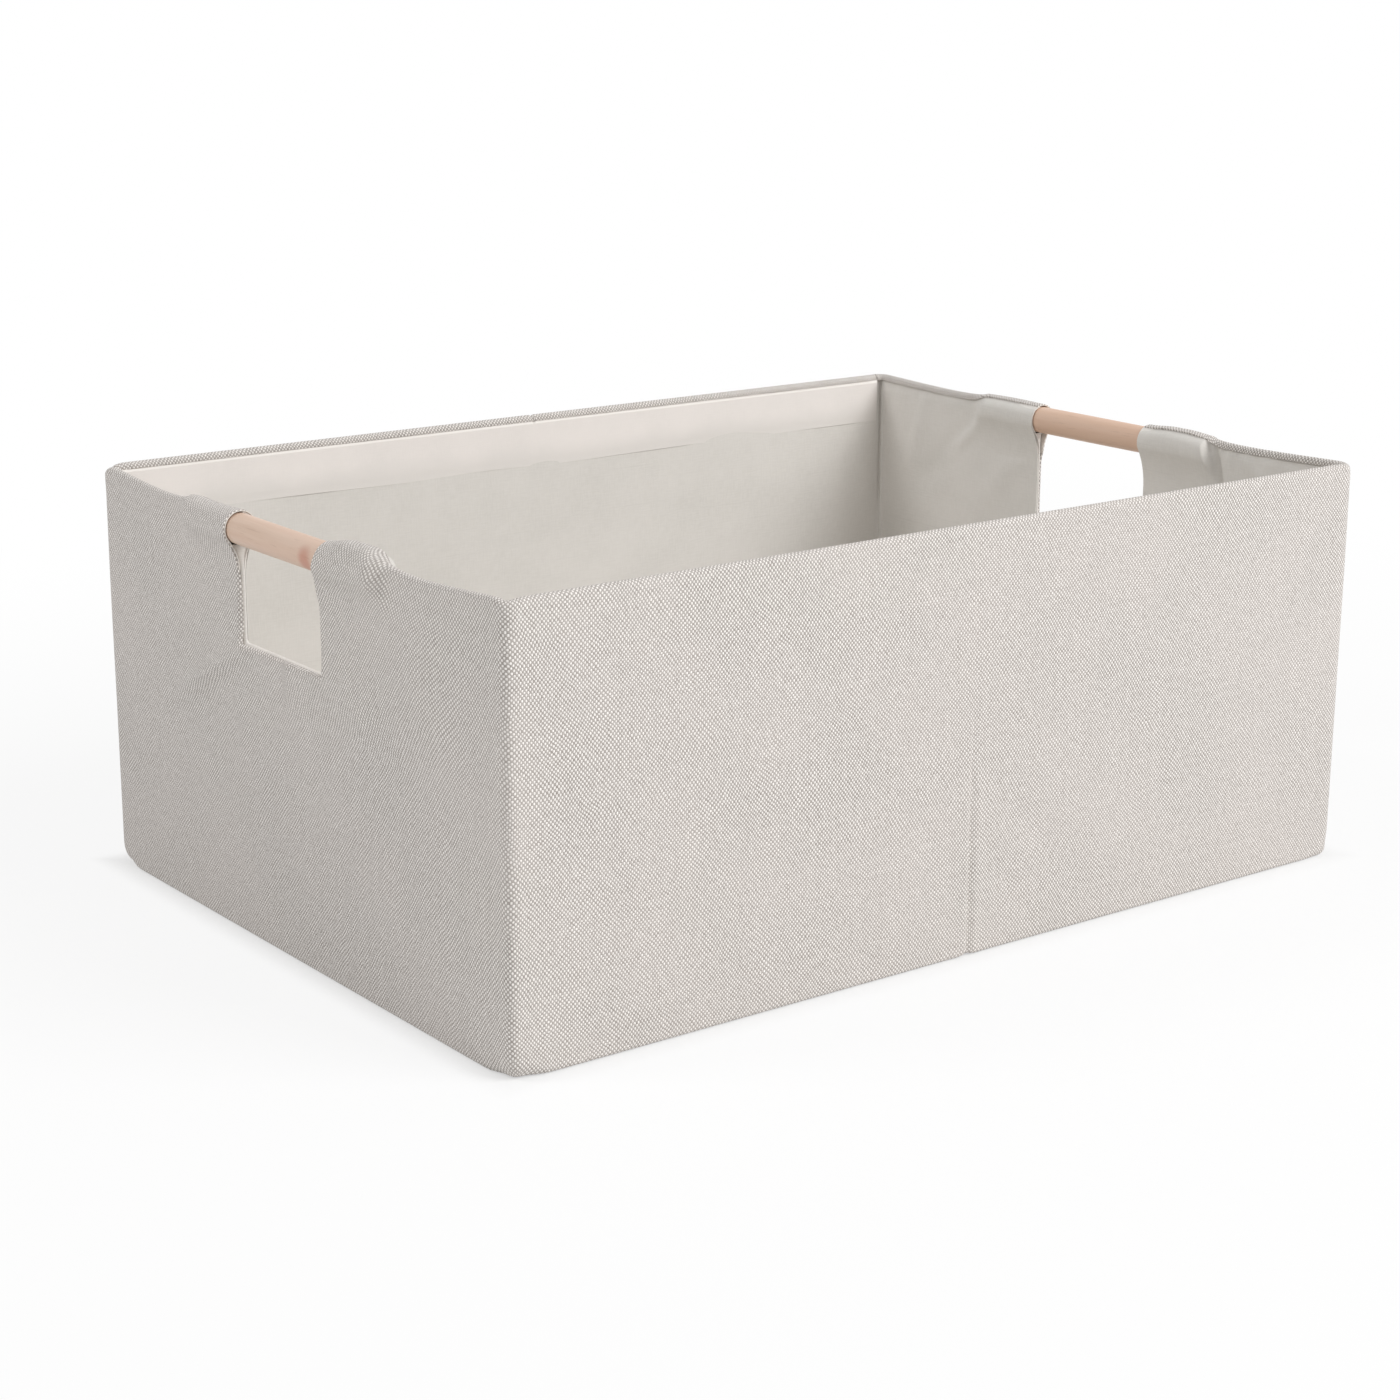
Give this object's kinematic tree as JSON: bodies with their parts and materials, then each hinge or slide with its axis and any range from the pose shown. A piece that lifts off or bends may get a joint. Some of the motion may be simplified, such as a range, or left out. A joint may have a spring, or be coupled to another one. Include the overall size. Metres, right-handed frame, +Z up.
{
  "type": "fabric storage bin",
  "caption": "Open rectangular cloth storage bin with stiffened lined walls that fold inwards at a centre crease, and wooden rod handles across hand openings in both ends.",
  "frame": {"origin": "on the floor, under the middle of the bin", "axes": "+X along the long side, the front wall at -Y, +Z up"},
  "size_m": [0.431, 0.3, 0.17],
  "materials": {
    "oatmeal_linen": "coarse plain-weave linen-look cloth, oatmeal",
    "lining_cloth": "smooth matt off-white lining cloth",
    "felt": "grey felt pad",
    "card": "grey board",
    "beech": "pale sanded beech"
  },
  "bodies": {
    "left_end": {"bottom_cover": "oatmeal_linen", "bottom_pad": "felt", "bottom_lining": "lining_cloth", "left_end_cover": "oatmeal_linen", "left_end_board": "card", "left_end_lining": "lining_cloth", "left_opening_facing": "lining_cloth"},
    "right_end": {"right_end_cover": "oatmeal_linen", "right_end_board": "card", "right_end_lining": "lining_cloth", "right_opening_facing": "lining_cloth"},
    "left_rod": {"left_rod": "beech"},
    "right_rod": {"right_rod": "beech"},
    "front_left_wall": {"front_left_cover": "oatmeal_linen", "front_left_board": "card", "front_left_lining": "lining_cloth", "front_left_hem": "lining_cloth"},
    "front_right_wall": {"front_right_cover": "oatmeal_linen", "front_right_board": "card", "front_right_lining": "lining_cloth", "front_right_hem": "lining_cloth"},
    "back_left_wall": {"back_left_cover": "oatmeal_linen", "back_left_board": "card", "back_left_lining": "lining_cloth", "back_left_hem": "lining_cloth"},
    "back_right_wall": {"back_right_cover": "oatmeal_linen", "back_right_board": "card", "back_right_lining": "lining_cloth", "back_right_hem": "lining_cloth"}
  },
  "joints": [
    {"name": "wall_fold", "type": "hinge", "parent": "left_end", "child": "front_left_wall", "pos_m": [-0.204, -0.144, 0], "axis": [0, 0, 1], "range_deg": [0, 44]},
    {"name": "front_crease", "type": "hinge", "parent": "front_left_wall", "child": "front_right_wall", "pos_m": [0, -0.15, 0], "axis": [0, 0, 1], "range_deg": [-88, 0]},
    {"name": "right_front_corner", "type": "hinge", "parent": "front_right_wall", "child": "right_end", "pos_m": [0.204, -0.144, 0], "axis": [0, 0, 1], "range_deg": [0, 44]},
    {"name": "left_back_corner", "type": "hinge", "parent": "left_end", "child": "back_left_wall", "pos_m": [-0.204, 0.144, 0], "axis": [0, 0, 1], "range_deg": [-44, 0]},
    {"name": "back_crease", "type": "hinge", "parent": "back_left_wall", "child": "back_right_wall", "pos_m": [0, 0.15, 0], "axis": [0, 0, 1], "range_deg": [0, 88]},
    {"name": "left_rod_turn", "type": "hinge", "parent": "left_end", "child": "left_rod", "pos_m": [-0.2082, 0, 0.1627], "axis": [0, 1, 0], "continuous": true},
    {"name": "right_rod_turn", "type": "hinge", "parent": "right_end", "child": "right_rod", "pos_m": [0.2082, 0, 0.1627], "axis": [0, 1, 0], "continuous": true}
  ],
  "couplings": [
    {"joint": "front_crease", "follows": "wall_fold", "ratio": -2},
    {"joint": "right_front_corner", "follows": "wall_fold", "ratio": 1},
    {"joint": "left_back_corner", "follows": "wall_fold", "ratio": -1},
    {"joint": "back_crease", "follows": "wall_fold", "ratio": 2}
  ]
}
